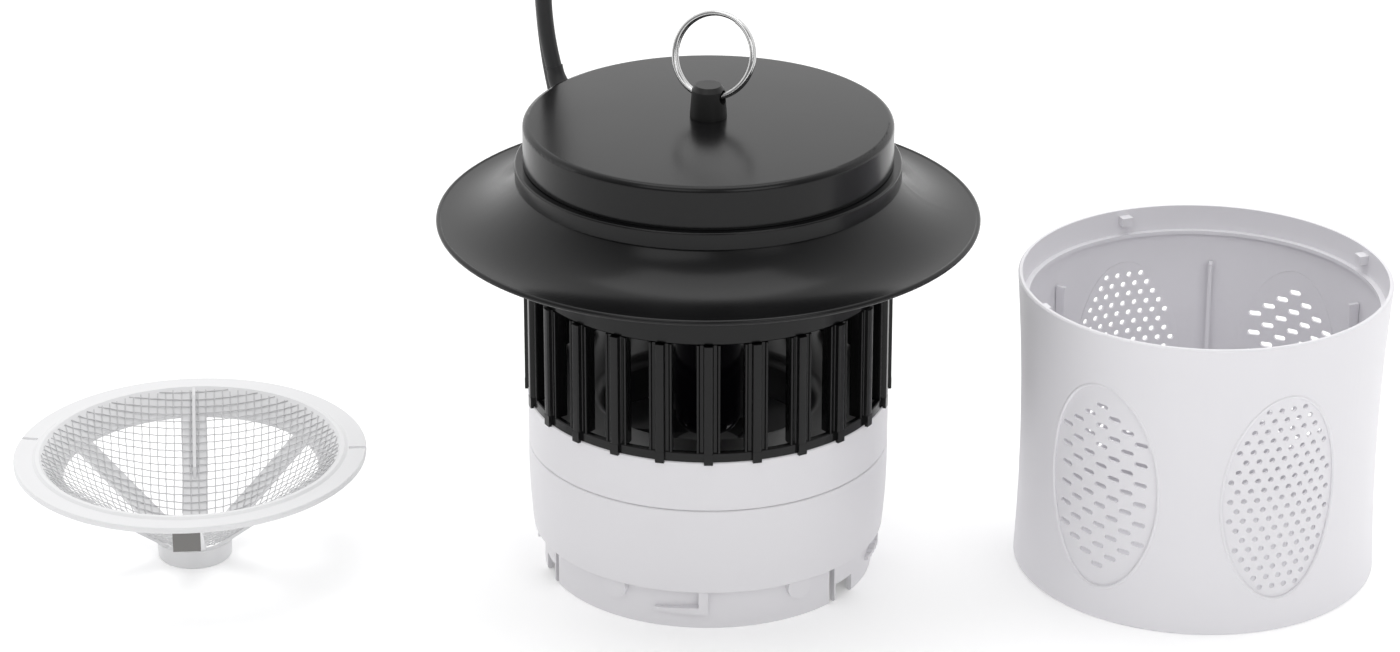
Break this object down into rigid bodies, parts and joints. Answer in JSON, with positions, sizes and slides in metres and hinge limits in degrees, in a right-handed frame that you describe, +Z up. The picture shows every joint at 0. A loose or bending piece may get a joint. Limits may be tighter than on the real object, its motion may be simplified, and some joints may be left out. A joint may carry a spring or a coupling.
{
  "type": "electric bug zapper",
  "caption": "Hanging insect lamp with a brimmed cap, slatted cage, fan and ring, shown with its net strainer and perforated catch bucket lifted off.",
  "frame": {"origin": "middle of the row of three pieces, on the floor that they stand on", "axes": "+X from the strainer past the head to the bucket, +Y to the back where the cord leaves the cap, +Z up"},
  "size_m": [0.591, 0.3115, 0.3017],
  "materials": {
    "black_shell": "satin moulded black",
    "seal_rubber": "matt foam seal",
    "funnel_gloss": "polished black",
    "dark_glass": "dark ultraviolet glass",
    "tube_glass": "clear discharge tube",
    "holder_plastic": "moulded black",
    "board": "green laminate",
    "brass": "turned",
    "screw_steel": "zinc plated",
    "component_plastic": "moulded",
    "white_body": "satin moulded white",
    "fan_plastic": "moulded black",
    "motor_steel": "plated",
    "post_plastic": "moulded black",
    "ring_chrome": "nickel plated spring wire",
    "cord_rubber": "matt black sheath",
    "pin_brass": "nickel plated brass",
    "white_strainer": "satin moulded white",
    "net_white": "woven net",
    "tab_grey": "moulded grey",
    "white_bucket": "satin moulded white"
  },
  "bodies": {
    "head": {"bayonet_collar": "white_body", "board_components": "component_plastic", "board_screws": "screw_steel", "board_standoffs": "brass", "brim": "black_shell", "cable_gland": "cord_rubber", "cage_base_ring": "black_shell", "cage_pillars": "black_shell", "cage_screws": "screw_steel", "cage_slats": "black_shell", "cap_seal": "seal_rubber", "ceiling_plate": "black_shell", "cord_coil": "cord_rubber", "cord_tube": "cord_rubber", "driver_board": "board", "fan_frame": "fan_plastic", "fan_screws": "screw_steel", "hanging_post": "post_plastic", "intake_funnel": "funnel_gloss", "lamp_base": "holder_plastic", "lamp_drum": "black_shell", "lamp_glass": "dark_glass", "lamp_holder": "holder_plastic", "lower_housing": "white_body", "motor_can": "motor_steel", "plug_body": "cord_rubber", "plug_pins": "pin_brass", "post_nut": "screw_steel", "post_washer": "screw_steel", "top_cap": "black_shell", "upper_body": "white_body", "uv_tube": "tube_glass"},
    "rotor": {"fan_rotor": "fan_plastic", "motor_shaft": "motor_steel"},
    "ring": {"hanging_ring": "ring_chrome"},
    "strainer": {"strainer_cup": "white_strainer", "strainer_fin": "white_strainer", "strainer_net": "net_white", "strainer_ribs": "white_strainer", "strainer_rim": "white_strainer", "strainer_tab": "tab_grey"},
    "bucket": {"bucket_ledge": "white_bucket", "bucket_pegs": "white_bucket", "bucket_ribs": "white_bucket", "bucket_shell": "white_bucket", "bucket_vents": "white_bucket"}
  },
  "joints": [
    {"name": "fan_spin", "type": "hinge", "parent": "head", "child": "rotor", "pos_m": [0.0035, 0, 0.047], "axis": [0, 0, 1], "continuous": true},
    {"name": "ring_swing", "type": "hinge", "parent": "head", "child": "ring", "pos_m": [0.0035, 0, 0.2139], "axis": [0.9135, -0.4067, 0], "range_deg": [-80, 120]},
    {"name": "strainer_lift", "type": "slide", "parent": "head", "child": "strainer", "axis": [0, 0, 1], "range_m": [0, 0.12]},
    {"name": "bucket_twist", "type": "hinge", "parent": "head", "child": "bucket", "pos_m": [0.215, 0, 0], "axis": [0, 0, 1], "range_deg": [-20, 0]}
  ]
}
